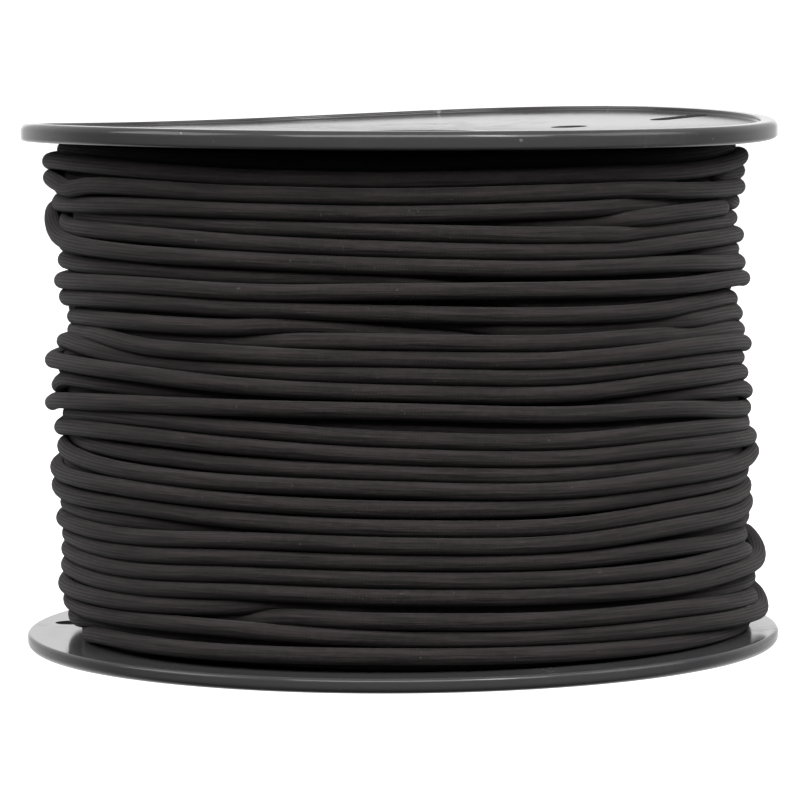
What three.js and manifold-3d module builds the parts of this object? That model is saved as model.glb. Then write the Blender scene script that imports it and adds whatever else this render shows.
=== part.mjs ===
// A flanged plastic spool wound full with braided elastic cord, standing on its lower flange.
// Millimetres, +Z up. The origin is under the spool's axis, on the surface that it stands on.
// Angles round the axis are in degrees from the front (-Y) towards +X.
import * as THREE from 'three';
import { mergeVertices } from 'three/addons/utils/BufferGeometryUtils.js';
import Module from 'manifold-3d';

const wasm = await Module();
wasm.setup();

// Spool: two equal mouldings, each a flange with half of the barrel.
const flangeRadius = 70;
const spoolHeight = 97;
const rimHeight = 3;
const rimWidth = 3.2;
const rimRound = 0.9;
const footRound = 0.4;
const recessDepth = 1.4;
const boreRadius = 16;
const barrelRadius = 31;
const barrelWall = 2.5;
const halfGap = 0.3;
const flangeSteps = 48;

// Openings in each flange: a slot for the cord's tail and a hole for its start, on one radial line.
const slotWidth = 5.6;
const slotInnerEnd = 54;
const slotOuterEnd = 66;
const startHoleRadius = 3.5;
const startHoleFromAxis = 36;
const lowerSlotAngle = -97;
const upperSlotAngle = 117;
const cutterHeight = 12;
const cutterSteps = 16;

// Warp of the upper flange, as rise per millimetre to the right: a saddle, and more towards the back.
const saddleWarp = 0.0222;
const backWarp = 0.0135;

// Cord and winding.
const cordDiameter = 3.2;
const windingGap = 0.3;
const windingTop = 92.6;
const shoulderRadius = 61;
const ridgeHalf = 0.85;
const ridgeShare = 0.3;
const ridgeDrop = 0.25;
const grooveDepth = 0.45 * cordDiameter;
const windingSteps = 40;
const backWander = 0.35;
const backReach = 64.2;
const backReachWander = 0.7;
const wanderTurn = 2.4;

// The photograph's camera, which turns a row of the picture into a height: how far in front of the axis it
// stands, how high, how far to the right, its turns in degrees, and its lens for a picture 800 pixels wide.
const cameraDistance = 882.4;
const cameraHeight = 120.5;
const cameraAside = -0.2;
const cameraPitch = 4.889;
const cameraRoll = 0.433;
const focalPixels = 4755;
const middleRow = 400;
const sightRadius = 63.2;

// The main turns that show, from the top down; two that cross or lie close can stand as one. The rows are
// those of the picture in which the middle of a turn stands at five angles in front. The reaches are how
// far from the axis it comes at the left, in front and at the right.
const turnAngles = [-75, -50, 0, 50, 75];
const turnReadings = [
  { rows: [157, 162, 167, 159, 152], reaches: [63.5, 62.5, 63] },
  { rows: [167, 173, 182, 171, 162], reaches: [66, 64.5, 64.5] },
  { rows: [184, 187, 197, 190, 186], reaches: [66, 64.5, 63.5] },
  { rows: [204, 206, 213, 206, 202], reaches: [64.5, 64.5, 62] },
  { rows: [217, 221, 234, 227, 219], reaches: [65, 64.5, 62] },
  { rows: [228, 234, 248, 244, 237], reaches: [65, 64, 63] },
  { rows: [241, 252, 266, 265, 262], reaches: [66, 65, 63.5] },
  { rows: [263, 270, 281, 275, 270], reaches: [63, 64, 61.5] },
  { rows: [282, 285, 291, 287, 278], reaches: [64, 65, 64.5] },
  { rows: [298, 301, 314, 307, 296], reaches: [63, 64.5, 62] },
  { rows: [310, 314, 327, 325, 313], reaches: [61.5, 63, 63] },
  { rows: [325, 335, 343, 336, 328], reaches: [61.5, 64.5, 62.5] },
  { rows: [334, 347, 360, 347, 341], reaches: [62.5, 64.5, 64.5] },
  { rows: [344, 356, 375, 365, 357], reaches: [64, 64.5, 64] },
  { rows: [362, 372, 391, 382, 373], reaches: [66, 64.5, 64] },
  { rows: [379, 388, 401, 396, 388], reaches: [64.5, 62, 65] },
  { rows: [400, 403, 411, 410, 407], reaches: [66, 65, 64.5] },
  { rows: [413, 419, 441, 433, 426], reaches: [62.5, 64, 65] },
  { rows: [426, 433, 457, 449, 439], reaches: [64, 64.5, 65] },
  { rows: [438, 453, 473, 462, 450], reaches: [62.5, 64, 63.5] },
  { rows: [449, 471, 487, 475, 461], reaches: [63.5, 64.5, 66] },
  { rows: [470, 488, 509, 491, 475], reaches: [65, 64.5, 64.5] },
  { rows: [494, 507, 529, 510, 490], reaches: [63, 65, 64.5] },
  { rows: [517, 533, 545, 527, 508], reaches: [64, 65, 64.5] },
  { rows: [536, 553, 562, 548, 533], reaches: [63, 65, 64.5] },
  { rows: [549, 568, 580, 568, 555], reaches: [63, 64.5, 65] },
  { rows: [566, 585, 597, 586, 571], reaches: [63, 64.5, 66] },
  { rows: [583, 601, 608, 598, 583], reaches: [63.5, 63.5, 65] },
  { rows: [593, 611, 621, 609, 596], reaches: [62.5, 64.5, 66] },
  { rows: [605, 620, 639, 627, 614], reaches: [61.5, 64.5, 67.5] },
  { rows: [620, 641, 656, 641, 623], reaches: [61, 64.5, 64.5] },
];

// Three angles behind, between the last one in front and the first one of the next round. The height
// and the reach swing to one side and the other of their middle there.
const backAngles = [130, 180, 230];
const backHeightSides = [-1, 1, -1];
const backReachSides = [1, -1, 1];

const fullTurn = 360;
const halfTurn = fullTurn / 2;
const cornerSteps = 3;
const weldDistance = 0.0001;
const axisCount = 3;

const plastic = { color: 0x4a484a, roughness: 0.32, metalness: 0 };
const sheath = { color: 0x211e1d, roughness: 0.85, metalness: 0 };

function makeSolid(geometry) {
  geometry.deleteAttribute('normal');
  geometry.deleteAttribute('uv');
  const merged = mergeVertices(geometry, weldDistance);
  return new wasm.Manifold(new wasm.Mesh({
    numProp: axisCount,
    vertProperties: new Float32Array(merged.attributes.position.array),
    triVerts: new Uint32Array(merged.index.array),
  }));
}

function makeGeometry(solid) {
  const mesh = solid.getMesh();
  const geometry = new THREE.BufferGeometry();
  geometry.setAttribute('position', new THREE.BufferAttribute(mesh.vertProperties, axisCount));
  geometry.setIndex(new THREE.BufferAttribute(mesh.triVerts, 1));
  return geometry;
}

function makeMesh(name, geometry, finish) {
  geometry.computeVertexNormals();
  const mesh = new THREE.Mesh(geometry, new THREE.MeshStandardMaterial(finish));
  mesh.name = name;
  return mesh;
}

// A quarter circle between two corners of a profile, as points for the rounded rim.
function roundCorner(centreX, centreY, radius, startAngle) {
  return Array.from({ length: cornerSteps + 1 }, (_, step) => {
    const angle = startAngle + (step / cornerSteps) * (Math.PI / 2);
    return [centreX + radius * Math.cos(angle), centreY + radius * Math.sin(angle)];
  });
}

// One moulding's section from the bore out, round the rim, and up and down the barrel.
function halfSection() {
  const rimInside = flangeRadius - rimWidth;
  const barrelEnd = (spoolHeight - halfGap) / 2;
  return [
    [boreRadius, recessDepth],
    [rimInside, recessDepth],
    [rimInside, footRound],
    [rimInside + footRound, 0],
    ...roundCorner(flangeRadius - rimRound, rimRound, rimRound, -Math.PI / 2),
    ...roundCorner(flangeRadius - rimRound, rimHeight - rimRound, rimRound, 0),
    [barrelRadius, rimHeight],
    [barrelRadius, barrelEnd],
    [barrelRadius - barrelWall, barrelEnd],
    [barrelRadius - barrelWall, rimHeight],
    [boreRadius, rimHeight],
    [boreRadius, recessDepth],
  ].map(([radius, height]) => new THREE.Vector2(radius, height));
}

// The turned body stands on the lathe's own axis, so it is laid over to have its axis along +Z.
function makeLathe(section, steps) {
  return new THREE.LatheGeometry(section, steps).rotateX(Math.PI / 2);
}

function placeAt(geometry, distance, angle) {
  return geometry
    .translate(0, -distance, 0)
    .rotateZ(THREE.MathUtils.degToRad(angle));
}

function makeSlotCutter(angle) {
  const endRadius = slotWidth / 2;
  const half = (slotOuterEnd - slotInnerEnd) / 2 - endRadius;
  const outline = new THREE.Shape();
  outline.moveTo(endRadius, -half);
  outline.absarc(0, half, endRadius, 0, Math.PI, false);
  outline.absarc(0, -half, endRadius, Math.PI, 2 * Math.PI, false);
  const cutter = new THREE.ExtrudeGeometry(outline, {
    depth: cutterHeight,
    bevelEnabled: false,
    curveSegments: cutterSteps / 2,
  });
  cutter.translate(0, 0, -cutterHeight / 2);
  return placeAt(cutter, (slotOuterEnd + slotInnerEnd) / 2, angle);
}

function makeHoleCutter(angle) {
  const cutter = new THREE.CylinderGeometry(startHoleRadius, startHoleRadius, cutterHeight, cutterSteps);
  cutter.rotateX(Math.PI / 2);
  return placeAt(cutter, startHoleFromAxis, angle);
}

function makeHalf(slotAngle) {
  const moulding = makeSolid(makeLathe(halfSection(), flangeSteps))
    .subtract(makeSolid(makeSlotCutter(slotAngle)))
    .subtract(makeSolid(makeHoleCutter(slotAngle)));
  return makeGeometry(moulding);
}

// How far the upper flange stands above its true plane at a place.
function warpAt(x, y) {
  const depth = y / flangeRadius;
  return x * (saddleWarp * depth + backWarp * depth * depth);
}

// The upper half is the same moulding turned over about the left-right axis, which swaps front and back.
function makeUpperHalf() {
  const geometry = makeHalf(halfTurn - upperSlotAngle).rotateX(Math.PI);
  geometry.translate(0, 0, spoolHeight);
  const position = geometry.attributes.position;
  const flangeFace = spoolHeight - rimHeight - halfGap;
  for (let index = 0; index < position.count; index += 1) {
    if (position.getZ(index) > flangeFace) {
      position.setZ(index, position.getZ(index) + warpAt(position.getX(index), position.getY(index)));
    }
  }
  return geometry;
}

// The height at which the line of sight through a row of the picture meets the turns at an angle.
function heightOfRow(row, angle) {
  const pitch = THREE.MathUtils.degToRad(cameraPitch);
  const roll = THREE.MathUtils.degToRad(cameraRoll);
  const around = THREE.MathUtils.degToRad(angle);
  const right = sightRadius * Math.sin(around) - cameraAside;
  const away = cameraDistance - sightRadius * Math.cos(around);
  const down = row - middleRow;
  const upright = focalPixels * Math.cos(roll);
  const fall = focalPixels * Math.sin(roll) * right
    + away * (upright * Math.sin(pitch) + down * Math.cos(pitch));
  return cameraHeight - fall / (upright * Math.cos(pitch) - down * Math.sin(pitch));
}

// One turn as a closed curve round the spool. Its points hold the height and the reach at each angle.
function makeTurn({ rows, reaches: [left, front, right] }, order) {
  const swing = Math.sin(order * wanderTurn);
  const heights = rows.map((row, index) => heightOfRow(row, turnAngles[index]));
  const meanHeight = (heights[0] + heights[heights.length - 1]) / 2;
  const reaches = [left, (left + front) / 2, front, (right + front) / 2, right];
  const backHeights = backHeightSides.map((side) => meanHeight + side * swing * backWander);
  const backReaches = backReachSides.map((side) => backReach + side * swing * backReachWander);
  const points = [...heights, ...backHeights].map(
    (height, index) => new THREE.Vector3([...reaches, ...backReaches][index], 0, height),
  );
  return new THREE.CatmullRomCurve3(points, true, 'catmullrom');
}

// Where an angle lies along a turn's curve, whose points are at the named angles.
function curveShare(angle) {
  const stops = [...turnAngles, ...backAngles, turnAngles[0] + fullTurn];
  const wrapped = angle < turnAngles[0] ? angle + fullTurn : angle;
  const last = stops.findLastIndex((stop) => stop <= wrapped);
  const share = (wrapped - stops[last]) / (stops[last + 1] - stops[last]);
  return ((last + share) / (stops.length - 1)) % 1;
}

// The winding's section at one angle, from the bottom up: two flanks for each turn and a groove above it.
function windingSection(turns, angle) {
  const centres = turns.map((turn) => turn.getPoint(curveShare(angle))).reverse();
  const points = [];
  centres.forEach((centre, index) => {
    const below = index > 0 ? centre.z - centres[index - 1].z : cordDiameter;
    const next = centres[index + 1];
    const above = next ? next.z - centre.z : cordDiameter;
    points.push([centre.x - ridgeDrop, centre.z - Math.min(ridgeHalf, ridgeShare * below)]);
    points.push([centre.x - ridgeDrop, centre.z + Math.min(ridgeHalf, ridgeShare * above)]);
    if (next) {
      points.push([Math.min(centre.x, next.x) - grooveDepth, (centre.z + next.z) / 2]);
    }
  });
  const insideRadius = barrelRadius + windingGap;
  const windingBottom = rimHeight + windingGap;
  return [
    [insideRadius, windingBottom],
    [shoulderRadius - ridgeDrop, windingBottom],
    ...points,
    [shoulderRadius, windingTop],
    [insideRadius, windingTop],
    [insideRadius, windingBottom],
  ];
}

// A turned ring whose points are then raised into the turns, angle by angle.
function makeWinding() {
  const turns = turnReadings.map(makeTurn);
  const even = windingSection(turns, 0).map(([radius, height]) => new THREE.Vector2(radius, height));
  const geometry = makeLathe(even, windingSteps);
  const position = geometry.attributes.position;
  for (let column = 0; column <= windingSteps; column += 1) {
    const angle = (column % windingSteps) * (fullTurn / windingSteps);
    const turnBack = angle > halfTurn ? angle - fullTurn : angle;
    const radians = THREE.MathUtils.degToRad(angle);
    windingSection(turns, turnBack).forEach(([radius, height], row) => {
      const index = column * even.length + row;
      position.setXYZ(index, radius * Math.sin(radians), -radius * Math.cos(radians), height);
    });
  }
  return makeGeometry(makeSolid(geometry));
}

const spool = new THREE.Group();
spool.add(makeMesh('spool_lower_half', makeHalf(lowerSlotAngle), plastic));
spool.add(makeMesh('spool_upper_half', makeUpperHalf(), plastic));
spool.add(makeMesh('cord_winding', makeWinding(), sheath));

export default spool;
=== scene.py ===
import math

import bpy
import numpy as np
from mathutils import Matrix, Vector


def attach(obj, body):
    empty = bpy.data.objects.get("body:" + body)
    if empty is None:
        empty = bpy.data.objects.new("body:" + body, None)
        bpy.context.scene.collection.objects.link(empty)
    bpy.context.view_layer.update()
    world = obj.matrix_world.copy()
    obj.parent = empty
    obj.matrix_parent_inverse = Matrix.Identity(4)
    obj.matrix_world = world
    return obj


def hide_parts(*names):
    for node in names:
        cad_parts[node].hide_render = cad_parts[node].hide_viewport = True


# Spool of black shock cord, standing on its lower flange.
# Metres, +Z up, the spool's axis on Z. Angles round the axis are in degrees from the front (-Y) towards +X.
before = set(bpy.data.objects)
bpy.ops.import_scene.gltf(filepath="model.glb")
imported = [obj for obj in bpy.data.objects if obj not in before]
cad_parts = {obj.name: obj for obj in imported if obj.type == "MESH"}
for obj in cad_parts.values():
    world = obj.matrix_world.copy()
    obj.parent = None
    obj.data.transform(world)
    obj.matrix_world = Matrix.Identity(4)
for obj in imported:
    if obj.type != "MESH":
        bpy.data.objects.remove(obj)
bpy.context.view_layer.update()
mm = 0.001
print("frame loaded:", sorted(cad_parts))


# The camera stands where the photograph's did.
view = dict(
    place=(-0.00022, -0.88244, 0.12049),
    pitch=4.889,         # degrees down
    roll=-0.43,          # degrees: the right of the picture stands a little high
    lens=213.99,
    sensor=36.0,
    nearest=0.05,
    farthest=300.0,
    picture=800,         # pixels across and down
    sightRadius=63.2,    # mm from the axis: where the middle of a turn is seen
)


def makeCamera(v):
    data = bpy.data.cameras.new("camera")
    data.lens, data.sensor_width, data.sensor_fit = v["lens"], v["sensor"], "HORIZONTAL"
    data.clip_start, data.clip_end = v["nearest"], v["farthest"]
    camera = bpy.data.objects.new("camera", data)
    bpy.context.scene.collection.objects.link(camera)
    camera.matrix_world = (
        Matrix.Translation(Vector(v["place"]))
        @ Matrix.Rotation(math.radians(90 - v["pitch"]), 4, "X")
        @ Matrix.Rotation(math.radians(v["roll"]), 4, "Z")
    )
    bpy.context.scene.camera = camera


makeCamera(view)
print("camera placed")

light = dict(
    front=0.04,          # the sky's strength in front of the spool,
    beside=0.75,         # beside it
    behind=1.22,         # and right behind it
    overhead=0.30,       # its share of that, overhead
    table=0.6,           # what the white table adds, behind and below
    panels=[
        # name, place, width, height, power
        ("keyPanel", (0.12, -1.10, 1.10), 2.1, 0.85, 21.0),
        ("coreStrip", (0.58, -0.92, 1.05), 0.24, 0.6, 3.0),
        ("rightPanel", (1.35, -0.20, 1.10), 1.1, 0.9, 6.0),
        ("leftPanel", (-1.35, -0.20, 1.10), 1.1, 0.9, 8.0),
    ],
    aim=(0.0, 0.0, 0.05),
    floorSize=400.0,
    floorDrop=0.05 * mm,
    floorColour=0.8,
    floorRoughness=0.9,
    floorGlow=1.05,
)


def rangeNode(tree, value, fromLow, fromHigh, toLow, toHigh, way="LINEAR"):
    # The value carried from one range to another, and kept inside it.
    node = tree.nodes.new("ShaderNodeMapRange")
    node.interpolation_type = way
    tree.links.new(value, node.inputs["Value"])
    ends = {"From Min": fromLow, "From Max": fromHigh, "To Min": toLow, "To Max": toHigh}
    for name, number in ends.items():
        node.inputs[name].default_value = number
    return node.outputs["Result"]


def mathNode(tree, operation, *values):
    node = tree.nodes.new("ShaderNodeMath")
    node.operation = operation
    for socket, value in zip(node.inputs, values):
        if isinstance(value, (int, float)):
            socket.default_value = value
        else:
            tree.links.new(value, socket)
    return node.outputs[0]


def makeLights(v):
    # A white backdrop and table behind, a dim room in front, and soft panels high up. The sky's strength
    # goes smoothly from one value to the next with its direction: Y points away from the camera, Z up.
    world = bpy.data.worlds.new("studio")
    bpy.context.scene.world = world
    world.use_nodes = True
    tree = world.node_tree
    background = tree.nodes["Background"]
    background.inputs["Color"].default_value = (1, 1, 1, 1)
    split = tree.nodes.new("ShaderNodeSeparateXYZ")
    tree.links.new(tree.nodes.new("ShaderNodeTexCoord").outputs["Generated"], split.inputs[0])
    away, up = split.outputs["Y"], split.outputs["Z"]
    more = v["behind"] - v["beside"]
    beside = rangeNode(tree, away, 0.10, 0.90, v["front"], v["beside"], "SMOOTHSTEP")
    behind = rangeNode(tree, away, 0.94, 0.985, 0.0, more, "SMOOTHSTEP")
    table = rangeNode(tree, up, -0.6, -0.05, v["table"], 0.0, "SMOOTHSTEP")
    table = mathNode(tree, "MULTIPLY", table, rangeNode(tree, away, 0.0, 0.6, 0.0, 1.0, "SMOOTHSTEP"))
    depth = mathNode(tree, "ADD", mathNode(tree, "ADD", beside, behind), table)
    high = rangeNode(tree, up, 0.25, 0.8, 1.0, v["overhead"], "SMOOTHSTEP")
    tree.links.new(mathNode(tree, "MULTIPLY", depth, high), background.inputs["Strength"])
    for name, place, width, height, power in v["panels"]:
        data = bpy.data.lights.new(name, "AREA")
        data.shape, data.size, data.size_y, data.energy = "RECTANGLE", width, height, power
        panel = bpy.data.objects.new(name, data)
        bpy.context.scene.collection.objects.link(panel)
        panel.location = place
        panel.rotation_euler = (Vector(place) - Vector(v["aim"])).to_track_quat("Z", "Y").to_euler()


makeLights(light)
bpy.context.scene.view_settings.view_transform = "Standard"
bpy.context.scene.view_settings.look = "None"
print("lights placed:", len(light["panels"]), "panels")


def makeSurface(name, points, closedAcross=True, closedAlong=False, uv=None, capped=False):
    # A mesh from a grid of points: rows along the surface, columns across it, and one face for each cell.
    # uv, where given, has one row and one column more than the cells, so that a seam keeps its own edge.
    rows, columns = points.shape[:2]
    cellRows = rows if closedAlong else rows - 1
    cellColumns = columns if closedAcross else columns - 1
    i, j = np.meshgrid(np.arange(cellRows), np.arange(cellColumns), indexing="ij")
    iNext, jNext = (i + 1) % rows, (j + 1) % columns
    faces = np.stack([i * columns + j, i * columns + jNext, iNext * columns + jNext, iNext * columns + j], -1)
    faces = faces.reshape(-1, 4)
    loops, sizes = faces.ravel(), np.full(len(faces), 4)
    if capped:
        first, last = np.arange(columns)[::-1], (rows - 1) * columns + np.arange(columns)
        loops = np.concatenate([loops, first, last])
        sizes = np.concatenate([sizes, [columns, columns]])
    mesh = bpy.data.meshes.new(name)
    mesh.vertices.add(rows * columns)
    mesh.vertices.foreach_set("co", points.reshape(-1).astype(np.float32))
    mesh.loops.add(len(loops))
    mesh.loops.foreach_set("vertex_index", loops.astype(np.int32))
    mesh.polygons.add(len(sizes))
    mesh.polygons.foreach_set("loop_start", np.concatenate([[0], np.cumsum(sizes)[:-1]]).astype(np.int32))
    mesh.update(calc_edges=True)
    if uv is not None:
        corners = np.stack([uv[i, j], uv[i, j + 1], uv[i + 1, j + 1], uv[i + 1, j]], -2).reshape(-1, 2)
        whole = np.zeros((len(loops), 2))
        whole[: len(corners)] = corners
        mesh.uv_layers.new(name="along").data.foreach_set("uv", whole.ravel().astype(np.float32))
    mesh.polygons.foreach_set("use_smooth", np.ones(len(sizes), bool))
    mesh.validate()
    piece = bpy.data.objects.new(name, mesh)
    bpy.context.scene.collection.objects.link(piece)
    return piece


def splineThrough(knots, values, at):
    # Cubic through the knots, whose slope at each knot is that of the line between its two neighbours.
    slope = np.gradient(values, knots)
    inner = (values[2:] - values[:-2]) / (knots[2:] - knots[:-2])
    slope[1:-1] = inner
    cell = np.clip(np.searchsorted(knots, at, side="right") - 1, 0, len(knots) - 2)
    width = knots[cell + 1] - knots[cell]
    t = np.clip((at - knots[cell]) / width, 0, 1)
    a, b = values[cell], values[cell + 1]
    return (
        a * (1 + 2 * t) * (1 - t) ** 2 + b * t * t * (3 - 2 * t)
        + slope[cell] * width * t * (1 - t) ** 2 - slope[cell + 1] * width * t * t * (1 - t)
    )


def around(radius, angle, height):
    # A place at an angle round the axis, from the front towards the right.
    return np.stack([radius * np.sin(angle), -radius * np.cos(angle), height], -1)


def newMaterial(name):
    material = bpy.data.materials.new(name)
    material.use_nodes = True
    tree = material.node_tree
    return material, tree, tree.nodes["Principled BSDF"]


def noiseNode(tree, vector, scale, detail=2.0, roughness=0.5):
    node = tree.nodes.new("ShaderNodeTexNoise")
    node.inputs["Scale"].default_value = scale
    node.inputs["Detail"].default_value = detail
    node.inputs["Roughness"].default_value = roughness
    tree.links.new(vector, node.inputs["Vector"])
    return node.outputs["Fac"]


def mixColour(tree, factor, first, second):
    node = tree.nodes.new("ShaderNodeMix")
    node.data_type = "RGBA"
    tree.links.new(factor, node.inputs["Factor"])
    for socket, value in ((node.inputs["A"], first), (node.inputs["B"], second)):
        if isinstance(value, tuple):
            socket.default_value = (*value, 1)
        else:
            tree.links.new(value, socket)
    return node.outputs["Result"]


sheath = dict(
    dark=(0.0175, 0.0139, 0.0144),
    light=(0.0450, 0.0360, 0.0370),
    lint=(0.16, 0.15, 0.15),
    roughness=0.78,
    specular=0.3,
    sheen=0.15,
    sheenRoughness=0.45,
    girth=math.pi * 3.0,     # mm once round the cord
    yarns=15,                # yarns of one family round the cord
    bump=0.05,               # mm
    streakCircle=1.5,        # the circle round the cord on which the streaks' noise is read
    streakLength=0.05,       # how much the noise is shrunk along the cord
)


def makeSheathMaterial(v):
    # Two families of yarns run round the cord in opposite directions. In each cell of their lattice one
    # family lies on top, as on a chessboard, and it stands up there as a half sine across its width.
    material, tree, shader = newMaterial("cordSheath")
    coordinates = tree.nodes.new("ShaderNodeTexCoord")
    split = tree.nodes.new("ShaderNodeSeparateXYZ")
    tree.links.new(coordinates.outputs["UV"], split.inputs[0])
    along, across = split.outputs["X"], split.outputs["Y"]
    pick = v["girth"] / v["yarns"]
    rising = mathNode(tree, "DIVIDE", mathNode(tree, "ADD", along, across), pick)
    falling = mathNode(tree, "DIVIDE", mathNode(tree, "SUBTRACT", along, across), pick)
    cells = mathNode(tree, "ADD", mathNode(tree, "FLOOR", rising), mathNode(tree, "FLOOR", falling))
    onTop = mathNode(tree, "PINGPONG", cells, 1.0)
    ridges = []
    for family in (rising, falling):
        part = mathNode(tree, "FRACT", family)
        ridges.append(mathNode(tree, "SINE", mathNode(tree, "MULTIPLY", part, math.pi)))
    difference = mathNode(tree, "SUBTRACT", ridges[0], ridges[1])
    height = mathNode(tree, "MULTIPLY_ADD", difference, onTop, ridges[1])

    # Streaks follow the cord: noise on its length, shrunk, and on a circle round it.
    turn = mathNode(tree, "MULTIPLY", across, 2 * math.pi / v["girth"])
    onCord = tree.nodes.new("ShaderNodeCombineXYZ")
    tree.links.new(mathNode(tree, "MULTIPLY", along, v["streakLength"]), onCord.inputs[0])
    for socket, wave in ((onCord.inputs[1], "COSINE"), (onCord.inputs[2], "SINE")):
        side = mathNode(tree, "MULTIPLY", mathNode(tree, wave, turn), v["streakCircle"])
        tree.links.new(side, socket)
    streaks = noiseNode(tree, onCord.outputs[0], 1.3, 3.0, 0.6)

    place = coordinates.outputs["Object"]
    fibre = noiseNode(tree, place, 2600.0, 3.0)
    patches = noiseNode(tree, place, 90.0, 3.0)
    relief = mathNode(tree, "MULTIPLY_ADD", fibre, 0.35, height)
    relief = mathNode(tree, "MULTIPLY_ADD", streaks, 8.0, relief)
    bump = tree.nodes.new("ShaderNodeBump")
    bump.inputs["Strength"].default_value = 1.0
    bump.inputs["Distance"].default_value = v["bump"] * mm
    tree.links.new(relief, bump.inputs["Height"])
    tree.links.new(bump.outputs["Normal"], shader.inputs["Normal"])

    # The tone is a weighted sum of the yarns' height, which paints shade into the hollows between the yarns,
    # broad patches, mottling and the streaks.
    mottle = noiseNode(tree, place, 800.0, 2.0, 0.6)
    tone = mathNode(tree, "MULTIPLY_ADD", height, 0.35, mathNode(tree, "MULTIPLY", patches, 0.5))
    tone = mathNode(tree, "MULTIPLY_ADD", mottle, 1.5, tone)
    tone = mathNode(tree, "MULTIPLY_ADD", streaks, 4.0, tone)
    cloth = mixColour(tree, rangeNode(tree, tone, 2.5, 3.8, 0.0, 1.0), v["dark"], v["light"])
    specks = rangeNode(tree, noiseNode(tree, place, 1500.0, 1.0), 0.74, 0.80, 0.0, 0.55)
    tree.links.new(mixColour(tree, specks, cloth, v["lint"]), shader.inputs["Base Color"])
    shader.inputs["Roughness"].default_value = v["roughness"]
    shader.inputs["Specular IOR Level"].default_value = v["specular"]
    shader.inputs["Sheen Weight"].default_value = v["sheen"]
    shader.inputs["Sheen Roughness"].default_value = v["sheenRoughness"]
    return material


plastic = dict(
    base=(0.086, 0.083, 0.086),
    scuffed=(0.12, 0.117, 0.12),
    speck=(0.30, 0.29, 0.28),
    smooth=0.12,         # roughness of the clean surface
    dull=0.42,           # and of the scuffed one
    grain=0.02,          # mm
    grainStrength=0.25,
)


def makePlasticMaterial(v):
    # Clean plastic with dull scuffs, where a broad noise is high and a fine one breaks it up, and specks.
    material, tree, shader = newMaterial("spoolPlastic")
    place = tree.nodes.new("ShaderNodeTexCoord").outputs["Object"]
    broad = noiseNode(tree, place, 45.0, 4.0, 0.6)
    fine = noiseNode(tree, place, 900.0, 3.0, 0.6)
    scuffs = rangeNode(tree, broad, 0.52, 0.72, 0.0, 0.7)
    worn = mathNode(tree, "MULTIPLY", scuffs, rangeNode(tree, fine, 0.4, 0.65, 0.2, 1.0))
    colour = mixColour(tree, worn, v["base"], v["scuffed"])
    specks = rangeNode(tree, noiseNode(tree, place, 520.0, 1.0), 0.765, 0.80, 0.0, 0.8)
    tree.links.new(mixColour(tree, specks, colour, v["speck"]), shader.inputs["Base Color"])
    tree.links.new(rangeNode(tree, worn, 0.0, 1.0, v["smooth"], v["dull"]), shader.inputs["Roughness"])
    bump = tree.nodes.new("ShaderNodeBump")
    bump.inputs["Strength"].default_value = v["grainStrength"]
    bump.inputs["Distance"].default_value = v["grain"] * mm
    tree.links.new(fine, bump.inputs["Height"])
    tree.links.new(bump.outputs["Normal"], shader.inputs["Normal"])
    return material


sheathMaterial = makeSheathMaterial(sheath)
plasticMaterial = makePlasticMaterial(plastic)
print("materials ready")


def finishPiece(piece, material, slot, *nodes):
    piece.data.materials.clear()
    piece.data.materials.append(material)
    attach(piece, "root")
    if nodes:
        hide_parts(*nodes)
    return piece


# The spool, in millimetres and degrees.
spool = dict(
    height=97.0,
    flangeRadius=70.0,
    rimHeight=3.3,
    lowerRimHeight=2.7,
    rimWidth=3.2,
    rimFace=(1.5, 1.8),    # between these heights the rim's face is straight
    outerRound=1.3,
    innerRound=0.7,
    footRound=0.4,
    footInset=0.8,         # from the rim's inner edge to the flat that it stands on
    footMargin=0.2,
    recess=0.85,
    recessMargin=0.9,
    recessRound=0.4,
    dish=1.4,
    dishFrom=18.0,
    dishMargin=2.0,
    dishSteps=9,
    bore=16.0,
    edgeRound=0.25,
    barrel=31.0,
    barrelFillet=0.8,
    barrelWall=2.5,
    gap=0.3,
    steps=288,
    slotWidth=5.6,
    slotInner=54.0,
    slotOuter=66.0,
    holeRadius=3.5,
    holeAt=36.0,
    cutterEnds=(-4.0, 7.0),
    lowerAngle=-97.0,
    upperAngle=117.0,
    saddleWarp=0.0234,     # rise of the upper flange for each millimetre to the right, at the back edge
    backWarp=0.0151,
    sharpAngle=32,
)


def arc(centreR, centreZ, radius, start, end, steps=7):
    # A circle's arc as (radius, height) rows, from one angle in degrees to another.
    angle = np.radians(np.linspace(start, end, steps))
    return np.stack([centreR + radius * np.cos(angle), centreZ + radius * np.sin(angle)], 1)


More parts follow.
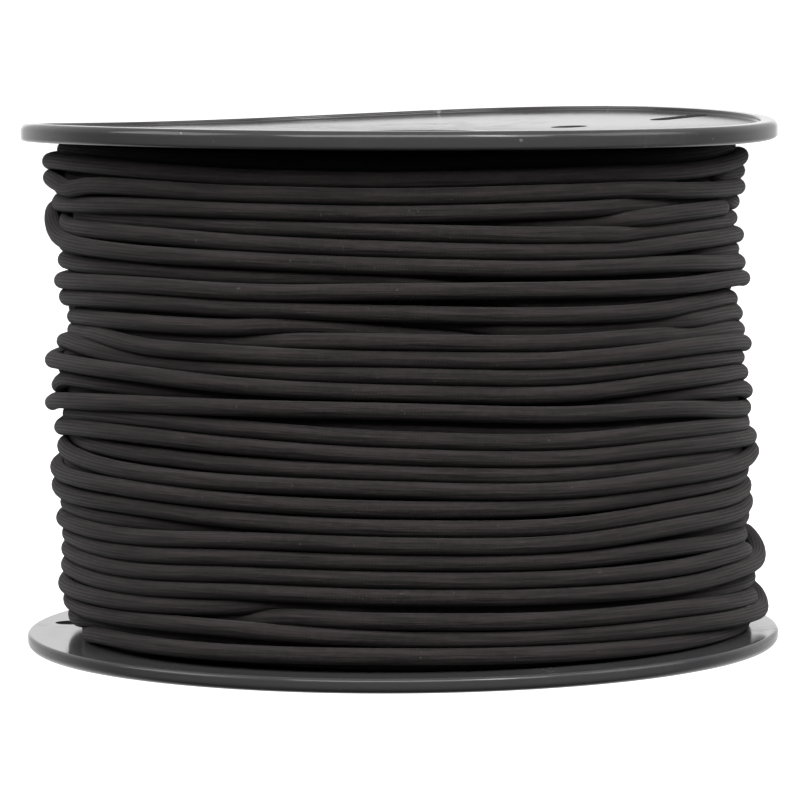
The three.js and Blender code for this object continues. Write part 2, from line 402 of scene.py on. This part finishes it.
def halfProfile(v):
    # Closed section of one moulding: recessed outer face, foot ring, rim, inner face, barrel, bore. The
    # recess is a parabola, deepest at the bore and level with the recess near the rim.
    foot, r, e, fillet = v["outerRound"], v["innerRound"], v["edgeRound"], v["barrelFillet"]
    corner, rim, edge = v["recessRound"], v["rimHeight"], v["flangeRadius"]
    inside, barrelEnd = edge - v["rimWidth"], (v["height"] - v["gap"]) / 2
    barrelInside = v["barrel"] - v["barrelWall"]
    deepest = v["recess"] + v["dish"]
    dished = np.linspace(v["dishFrom"], inside - v["dishMargin"], v["dishSteps"])
    outwards = (dished - v["dishFrom"]) / (inside - v["dishMargin"] / 2 - v["dishFrom"])
    rows = [
        arc(v["bore"] + e, deepest + e, e, 180, 270, 4),
        np.stack([dished, v["recess"] + v["dish"] * (1 - outwards ** 2)], 1),
        [[inside - v["recessMargin"], v["recess"]]],
        arc(inside - corner, v["recess"] - corner, corner, 90, 0, 4),
        arc(inside + v["footRound"], v["footRound"], v["footRound"], 180, 270, 5),
        [[inside + v["footInset"], 0.0], [edge - foot - v["footMargin"], 0.0]],
        arc(edge - foot, foot, foot, -90, 0, 11),
        [[edge, height] for height in v["rimFace"]],
        arc(edge - r, rim - r, r, 0, 90, 9),
        [[edge - r - 0.4, rim], [64.0, rim], [50.0, rim], [v["barrel"] + 2.0, rim]],
        arc(v["barrel"] + fillet, rim + fillet, fillet, 270, 180, 5),
        [[v["barrel"], rim + 2.0], [v["barrel"], barrelEnd]],
        [[barrelInside, barrelEnd], [barrelInside, rim], [20.0, rim]],
        arc(v["bore"] + e, rim - e, e, 90, 180, 4),
    ]
    return np.concatenate([np.asarray(row, float) for row in rows])


def makeCutter(name, outline, angle, v):
    # A straight prism through the flange, carried to its place at an angle round the axis.
    turn = math.radians(angle)
    x, y = outline[:, 0], outline[:, 1]
    placed = np.stack([x * math.cos(turn) - y * math.sin(turn), x * math.sin(turn) + y * math.cos(turn)], 1)
    rings = [np.column_stack([placed, np.full(len(placed), height)]) for height in v["cutterEnds"]]
    return makeSurface(name, np.stack(rings) * mm, capped=True)


def openingOutlines(v):
    # The slot is a stadium along the radius and the hole a circle, both walked anticlockwise.
    end = v["slotWidth"] / 2
    t = np.radians(np.linspace(0, 180, 17))
    outer = np.stack([end * np.cos(t + math.pi), -(v["slotOuter"] - end) + end * np.sin(t + math.pi)], 1)
    inner = np.stack([end * np.cos(t), -(v["slotInner"] + end) + end * np.sin(t)], 1)
    full = np.radians(np.arange(0, 360, 10))
    hole = np.stack([v["holeRadius"] * np.cos(full), -v["holeAt"] + v["holeRadius"] * np.sin(full)], 1)
    return np.concatenate([outer, inner]), hole


def cutAway(piece, cutters):
    for cutter in cutters:
        modifier = piece.modifiers.new("cut", "BOOLEAN")
        modifier.operation, modifier.solver, modifier.object = "DIFFERENCE", "EXACT", cutter
    bpy.context.view_layer.update()
    cut = bpy.data.meshes.new_from_object(piece.evaluated_get(bpy.context.evaluated_depsgraph_get()))
    piece.modifiers.clear()
    piece.data = cut
    for cutter in cutters:
        bpy.data.objects.remove(cutter)


def makeHalf(name, v, angle, turnedOver):
    profile = halfProfile(v)
    theta = np.radians(np.arange(v["steps"]) * 360 / v["steps"])
    heights = np.broadcast_to(profile[:, 1], (v["steps"], len(profile)))
    grid = around(profile[None, :, 0], theta[:, None], heights)
    piece = makeSurface(name, grid * mm, closedAcross=True, closedAlong=True)
    slot, hole = openingOutlines(v)
    cutAway(piece, [makeCutter("slotCutter", slot, angle, v), makeCutter("holeCutter", hole, angle, v)])
    mesh = piece.data
    places = np.zeros(len(mesh.vertices) * 3, np.float32)
    mesh.vertices.foreach_get("co", places)
    places = places.reshape(-1, 3).astype(float) / mm
    if turnedOver:
        # A half turn about the left-right axis, then the warp: a saddle, stronger towards the back.
        places = places * [1, -1, -1] + [0, 0, v["height"]]
        depth = places[:, 1] / v["flangeRadius"]
        onFlange = places[:, 2] > v["height"] - v["rimHeight"] - v["gap"]
        rise = places[:, 0] * (v["saddleWarp"] * depth + v["backWarp"] * depth * depth)
        places[:, 2] += np.where(onFlange, rise, 0.0)
    mesh.vertices.foreach_set("co", (places * mm).ravel().astype(np.float32))
    mesh.polygons.foreach_set("use_smooth", np.ones(len(mesh.polygons), bool))
    mesh.update()
    mesh.set_sharp_from_angle(angle=math.radians(v["sharpAngle"]))
    return piece


lowerSpool = dict(spool, rimHeight=spool["lowerRimHeight"])
lowerHalf = makeHalf("spoolLowerHalf", lowerSpool, spool["lowerAngle"], False)
upperHalf = makeHalf("spoolUpperHalf", spool, 180 - spool["upperAngle"], True)
finishPiece(lowerHalf, plasticMaterial, "spool_plastic", "spool_lower_half")
finishPiece(upperHalf, plasticMaterial, "spool_plastic", "spool_upper_half")
print("spool ready:", len(lowerHalf.data.vertices), "and", len(upperHalf.data.vertices), "vertices")


# One line for each turn of the outer layer, from the top down: the rows of the picture in which its middle
# stands at nine angles, and how far out it reaches, in millimetres, at five. The rows are read off, and
# some rows and reaches are then moved, to meet the outline and to leave no gap between the turns.
heightAngles = [-88, -75, -50, -25, 0, 25, 50, 75, 88]
reachAngles = [-88, -45, 0, 45, 88]
turnReadings = [
    ([150, 151, 158, 165, 166.5, 163, 158, 150, 147], [63.3, 62.6, 62.4, 62.6, 62.4]),
    ([161.5, 161, 168.5, 179, 182, 176.5, 172.5, 161, 155], [66.1, 64.8, 63.8, 64.6, 64.6]),
    ([176, 182, 186.5, 194, 197, 193, 192, 188, 186], [66.0, 65.0, 64.6, 64.6, 64.0]),
    ([202, 204, 206, 210.5, 213, 209.5, 203, 198, 200], [64.4, 64.6, 64.6, 64.2, 62.0]),
    ([208, 210, 214, 220, 224, 226.5, 213, 204, 204], [61.6, 61.0, 61.6, 64.4, 61.2]),
    ([213, 217, 220, 227.5, 234, 236.5, 227.5, 219, 219], [61.8, 63.6, 64.4, 64.2, 61.9]),
    ([219, 224, 232.5, 241.5, 248, 250.5, 243, 235, 235], [63.3, 64.2, 64.4, 64.4, 63.6]),
    ([220, 238, 252, 260, 266, 268, 264, 263, 262], [65.6, 65.0, 64.6, 64.6, 64.0]),
    ([259, 262, 270, 277, 281, 305.5, 299, 290, 288], [63.2, 63.6, 62.6, 62.2, 61.3]),
    ([280, 281, 284, 292.5, 291.5, 290, 286, 277, 278], [64.2, 64.6, 65.2, 65.0, 64.9]),
    ([297, 297, 301, 308.5, 314, 316, 310, 297, 300], [62.7, 64.2, 64.4, 64.4, 61.7]),
    ([306, 308, 312, 319.5, 327, 332, 326, 313, 314], [60.8, 61.8, 61.8, 63.8, 62.8]),
    ([315, 316, 322, 329.5, 334, 336, 333, 322, 322], [60.5, 64.4, 62.8, 61.2, 62.6]),
    ([324, 325, 337, 342, 343, 343.5, 336, 330, 329], [60.5, 63.0, 64.6, 64.2, 63.4]),
    ([331, 334, 347, 355, 360, 360, 345.5, 342, 347], [60.6, 64.2, 64.6, 65.0, 64.8]),
    ([341, 341, 353, 368, 375, 376.5, 363.5, 356, 354], [63.8, 63.8, 64.6, 64.4, 64.2]),
    ([359, 361, 372, 386, 391.5, 394.5, 381, 372, 371], [66.1, 65.0, 64.6, 64.6, 64.5]),
    ([385, 378, 388, 397, 401, 403, 396, 387, 391], [65.0, 62.4, 61.2, 62.0, 65.4]),
    ([402, 400, 403, 408, 411.5, 415, 409, 410, 407], [66.2, 65.2, 65.0, 64.8, 65.0]),
    ([409, 407, 412, 421, 429, 433, 422, 420, 417], [62.6, 62.0, 62.2, 62.2, 63.6]),
    ([415, 413, 419, 429.5, 441, 444, 433, 427, 425], [63.0, 64.0, 64.4, 64.6, 65.0]),
    ([426, 426, 433, 447, 457.5, 459.5, 448.5, 438, 434], [64.5, 64.4, 64.6, 64.6, 65.2]),
    ([434, 438, 453.5, 466.5, 473.5, 475, 461.5, 448, 442], [61.5, 63.5, 64.4, 64.4, 64.5]),
    ([444, 453, 471.5, 484, 487.5, 488, 475, 460, 447], [64.0, 64.6, 64.6, 65.2, 66.2]),
    ([465, 474, 488, 502.5, 509.5, 507, 491, 477, 467], [65.4, 65.0, 64.6, 64.4, 64.6]),
    ([483, 493, 506, 521, 529, 527, 510, 494, 484], [65.2, 64.4, 64.8, 64.6, 65.1]),
    ([502, 508, 521, 534, 549, 549, 534, 523, 513], [63.5, 63.0, 61.2, 61.6, 64.8]),
    ([516, 522, 537, 540.5, 545, 543.5, 525.5, 511, 499], [64.4, 64.4, 65.2, 65.2, 65.3]),
    ([534, 541, 553.5, 558.5, 562.5, 561, 548, 538, 533], [63.1, 64.4, 64.6, 64.6, 64.3]),
    ([547, 553, 570, 576, 580.5, 579, 568, 551, 551], [63.3, 64.4, 64.6, 64.8, 65.6]),
    ([562, 569, 587.5, 591.5, 597.5, 596, 586, 565.5, 556], [63.5, 64.4, 64.6, 65.0, 67.1]),
    ([581, 589, 602, 606, 606, 607.5, 598, 584, 576], [64.2, 64.4, 62.2, 62.2, 65.9]),
    ([589, 599, 611, 617.5, 621.5, 620, 609, 599, 596], [60.4, 61.9, 64.8, 64.8, 66.4]),
    ([598, 607, 619, 630, 639.5, 637.5, 627, 613.5, 606], [62.9, 64.4, 64.2, 64.8, 68.0]),
    ([610, 617, 629, 640, 646, 646, 640, 624, 616], [61.6, 61.8, 61.8, 61.6, 63.5]),
    ([622, 627, 643, 653.5, 656.5, 653, 642, 626, 616], [60.0, 64.4, 64.6, 64.6, 64.8]),
]
# Single kinks: turn (counted from 0 at the top), angle, half width in degrees, rise and push outward.
kinks = [
    (2, -68, 5, -1.0, 0.2),
    (7, -98, 9, 2.6, 0.3),
    (30, 99, 8, 3.9, 0.2),
    (33, 99, 8, 2.0, 0.1),
]
cord = dict(
    diameter=3.0,
    pressed=3.02,          # how close the middles of two touching turns come
    samples=240,           # along one turn
    sides=18,
    backAngles=(120, 180, 240),
    backReach=64.2,
    backWander=0.5,
    endSpan=70,            # degrees over which each end of the layer goes down
    endDepth=4.5,          # and how far
    rounds=160,
    hold=0.16,             # share of the way back to its target that a turn goes in each round
    underHold=0.04,        # the same for the height of the turns below
    push=0.7,              # share of an overlap that is taken out in each round
    ease=0.28,
    floor=2.65,
    ceiling=93.7,
    innerReach=60.4,
    turnsUnder=29,
    underReach=61.2,
    underWander=0.25,
    underSide=1.4,         # how much further out the turns below reach at the left and right
    underSamples=120,
    underSides=12,
)


def heightsOfRows(rows, angles, v):
    # The line of sight through a row of the picture meets the turns, at each angle, at one height.
    focal = v["lens"] / v["sensor"] * v["picture"]
    pitch, roll = math.radians(v["pitch"]), -math.radians(v["roll"])
    right = v["sightRadius"] * np.sin(np.radians(angles)) - v["place"][0] / mm
    away = -v["sightRadius"] * np.cos(np.radians(angles)) - v["place"][1] / mm
    down, upright = rows - v["picture"] / 2, focal * math.cos(roll)
    fall = focal * math.sin(roll) * right + away * (upright * math.sin(pitch) + down * math.cos(pitch))
    return v["place"][2] / mm - fall / (upright * math.cos(pitch) - down * math.sin(pitch))


def turnTargets(v):
    # The whole layer is one line: turn after turn, its knots follow each other with 360 degrees added.
    rows, reaches = [np.array(column, float) for column in zip(*turnReadings)]
    count, samples = len(rows), v["samples"]
    order = np.arange(count)
    front = np.array(heightAngles, float)
    heights = heightsOfRows(rows, front, view)
    nextLeft = np.append(heights[1:, 0], heights[-1, -1])
    swing = np.sin(order * 2.4)
    back = np.array(v["backAngles"], float)
    share = (back - front[-1]) / (360 + front[0] - front[-1])
    behind = heights[:, -1:] + (nextLeft - heights[:, -1])[:, None] * share
    behind = behind + swing[:, None] * v["backWander"] * np.array([-1, 1, -1])
    reachBehind = v["backReach"] + np.sin(order[:, None] * 1.7 + back * 0.05) * v["backWander"]

    at = np.linspace(-180, -180 + 360 * count, count * samples, endpoint=False)

    def whole(angles, values, backValues):
        knots = (np.concatenate([angles, back])[None] + 360 * order[:, None]).ravel()
        line = np.concatenate([values, backValues], 1).ravel()
        return splineThrough(knots, line, at).reshape(count, samples)

    z = whole(front, heights, behind)
    r = whole(np.array(reachAngles, float), reaches, reachBehind) - v["diameter"] / 2
    for turn, angle, width, rise, push in kinks:
        swell = np.exp(-(((at - angle - 360 * turn) / width) ** 2)).reshape(count, samples)
        z, r = z + rise * swell, r + push * swell
    # Both ends of the layer go down into the turns below, behind.
    ends = np.clip(1 - np.minimum(at - at[0], at[-1] - at) / v["endSpan"], 0, 1)
    r = r - v["endDepth"] * (ends * ends * (3 - 2 * ends)).reshape(count, samples)
    return r, z


def underTargets(v, samples):
    # The layer below runs the other way: its turns rise from left to right in front.
    count = v["turnsUnder"]
    at = np.linspace(0, 1, samples, endpoint=False)
    pitch = (v["ceiling"] - v["floor"] - v["diameter"]) / count
    z = v["floor"] + v["diameter"] / 2 + pitch * (np.arange(count)[:, None] + at)
    z = z + v["underWander"] * np.sin(2 * np.pi * (2 * at[None] + 0.37 * np.arange(count)[:, None]))
    r = v["underReach"] - v["diameter"] / 2 + v["underSide"] * np.sin(2 * np.pi * at) ** 4 + 0 * z
    return r, z


def easeLine(values, amount):
    # Each sample moves towards the middle of its two neighbours on the same line.
    line = values.ravel()
    middle = np.empty_like(line)
    middle[1:-1] = (line[:-2] + line[2:]) / 2
    middle[0], middle[-1] = line[0], line[-1]
    return (line + amount * (middle - line)).reshape(values.shape)


def settle(v):
    # At every angle the turns are discs in one plane. They are drawn to their targets and pushed apart
    # where they overlap, the turns below giving way first, until they lie beside and on each other.
    r, z = turnTargets(v)
    ru, zu = underTargets(v, v["samples"])
    count = len(r)
    targetR, targetZ = np.concatenate([r, ru]), np.concatenate([z, zu])
    r, z = targetR.copy(), targetZ.copy()
    # A turn that is meant to lie deeper gives way more easily.
    give = np.clip(0.25 + 0.9 * (62.6 - targetR), 0.15, 3.0)
    give[count:] = 8.0
    share = give[:, None] / (give[:, None] + give[None])
    hold = np.where(np.arange(len(r)) < count, v["hold"], v["underHold"])[:, None]
    low = v["floor"] + v["diameter"] / 2 - 0.05
    for _ in range(v["rounds"]):
        r += v["hold"] * (targetR - r)
        z += hold * (targetZ - z)
        dr, dz = r[:, None] - r[None], z[:, None] - z[None]
        apart = np.sqrt(dr * dr + dz * dz) + 1e-6
        # A turn below only moves inwards, and pushes the turns over it only outwards.
        dr[count:, :count] = -np.abs(dr[count:, :count])
        dr[:count, count:] = np.abs(dr[:count, count:])
        lap = np.clip(v["pressed"] - apart, 0, None)
        lap[np.arange(len(r)), np.arange(len(r))] = 0
        r += v["push"] * (share * lap * dr / apart).sum(1)
        z += v["push"] * (share * lap * dz / apart).sum(1)
        z = np.clip(z, low, v["ceiling"] - v["diameter"] / 2 + 0.05)
        r = np.clip(r, v["innerReach"] - v["diameter"] / 2 - 1.2, None)
        r[:count], z[:count] = easeLine(r[:count], v["ease"]), easeLine(z[:count], v["ease"])
        r[count:], z[count:] = easeLine(r[count:], v["ease"]), easeLine(z[count:], v["ease"])
    lap = np.clip(v["pressed"] - np.sqrt((r[:, None] - r[None]) ** 2 + (z[:, None] - z[None]) ** 2), 0, None)
    lap[np.arange(len(r)), np.arange(len(r))] = 0
    print("turns settled: most overlap left", round(float(lap.max()), 3), "mm")
    return (r[:count], z[:count]), (r[count:], z[count:])


def makeTube(name, r, z, angle, diameter, sides):
    # A circle carried along the line. Across the line its axes are the outward radius and the line's normal.
    places = around(r, angle, z)
    ahead = np.gradient(places, axis=0)
    ahead /= np.linalg.norm(ahead, axis=1, keepdims=True)
    outward = around(np.ones_like(r), angle, np.zeros_like(r))
    outward -= (outward * ahead).sum(1, keepdims=True) * ahead
    outward /= np.linalg.norm(outward, axis=1, keepdims=True)
    upward = np.cross(ahead, outward)
    turn = np.pi + np.linspace(0, 2 * np.pi, sides, endpoint=False)
    outPart = np.cos(turn)[None, :, None] * outward[:, None]
    upPart = np.sin(turn)[None, :, None] * upward[:, None]
    ring = places[:, None] + diameter / 2 * (outPart + upPart)
    steps = np.linalg.norm(np.diff(places, axis=0), axis=1)
    along = np.concatenate([[0], np.cumsum(steps), [0]])
    along[-1] = along[-2]
    across = np.linspace(0, np.pi * diameter, sides + 1)
    uv = np.stack(np.broadcast_arrays(along[:, None], across[None]), -1)
    piece = makeSurface(name, ring * mm, closedAcross=True, uv=uv, capped=True)
    return piece, float(steps.sum()) * mm


def splitTurns(name, r, z, v, parts, sides):
    # Several pieces, each some whole turns of the same line. They meet behind the spool.
    count, samples = r.shape
    line = np.linspace(-180, -180 + 360 * count, count * samples, endpoint=False)
    cuts = np.linspace(0, count, parts + 1).round().astype(int) * samples
    made, total = [], 0.0
    for index, (start, end) in enumerate(zip(cuts[:-1], cuts[1:])):
        stop = min(end + 1, count * samples)
        piece, length = makeTube(
            f"{name}{index + 1}", r.ravel()[start:stop], z.ravel()[start:stop],
            np.radians(line[start:stop]), v["diameter"], sides,
        )
        made.append(piece)
        total += length
    print(name, "length", round(total, 2), "m in", count, "turns")
    return made


outer, under = settle(cord)
turnPieces = splitTurns("cordTurns", *outer, cord, 3, cord["sides"])
step = cord["samples"] // cord["underSamples"]
underR, underZ = [values[:, ::step] for values in under]
underPieces = splitTurns("cordTurnsBelow", underR, underZ, cord, 1, cord["underSides"])

inner = dict(
    steps=96,
    reach=59.6,
    ridge=0.5,
    turnsHigh=28,
    rowsEach=6,
    bottomGap=0.3,
    topGap=1.4,
    barrelGap=0.3,
)


def makeInnerTurns(v):
    # The turns further in, as one closed ring whose outside is scalloped like a stack of turns.
    low, high = cord["floor"] + v["bottomGap"], cord["ceiling"] - v["topGap"]
    z = np.linspace(low, high, v["turnsHigh"] * v["rowsEach"] + 1)
    scallop = np.abs(np.sin(np.pi * (z - low) / (high - low) * v["turnsHigh"]))
    outside = np.column_stack([v["reach"] - v["ridge"] + v["ridge"] * scallop, z])
    wall = spool["barrel"] + v["barrelGap"]
    inside = np.array([[wall, high], [wall, low]])
    profile = np.concatenate([outside, inside])[::-1]
    theta = np.radians(np.arange(v["steps"]) * 360 / v["steps"])
    heights = np.broadcast_to(profile[:, 1], (v["steps"], len(profile)))
    grid = around(profile[None, :, 0], theta[:, None], heights)
    uv = np.zeros((v["steps"] + 1, len(profile) + 1, 2))
    uv[..., 0] = np.linspace(0, 2 * np.pi * v["reach"], v["steps"] + 1)[:, None]
    uv[..., 1] = np.append(profile[:, 1], profile[0, 1])[None]
    return makeSurface("cordInnerTurns", grid * mm, closedAcross=True, closedAlong=True, uv=uv)


innerTurns = makeInnerTurns(inner)
finishPiece(innerTurns, sheathMaterial, "cord_sheath", "cord_winding")
for piece in turnPieces + underPieces:
    finishPiece(piece, sheathMaterial, "cord_sheath", "cord_winding")
print("cord ready")


def makeFloor(v):
    # One flat square, pale and self-lit, which the camera alone sees.
    reach = v["floorSize"] / 2
    corners = np.array([[[-reach, -reach], [reach, -reach]], [[-reach, reach], [reach, reach]]])
    flat = np.concatenate([corners, np.full((2, 2, 1), -v["floorDrop"])], -1)
    floor = makeSurface("floor", flat, closedAcross=False)
    material, tree, shader = newMaterial("paleFloor")
    shader.inputs["Base Color"].default_value = (*[v["floorColour"]] * 3, 1)
    shader.inputs["Roughness"].default_value = v["floorRoughness"]
    shader.inputs["Emission Color"].default_value = (1, 1, 1, 1)
    shader.inputs["Emission Strength"].default_value = v["floorGlow"]
    floor.data.materials.append(material)
    floor.visible_diffuse = floor.visible_glossy = False


makeFloor(light)
print("floor laid")
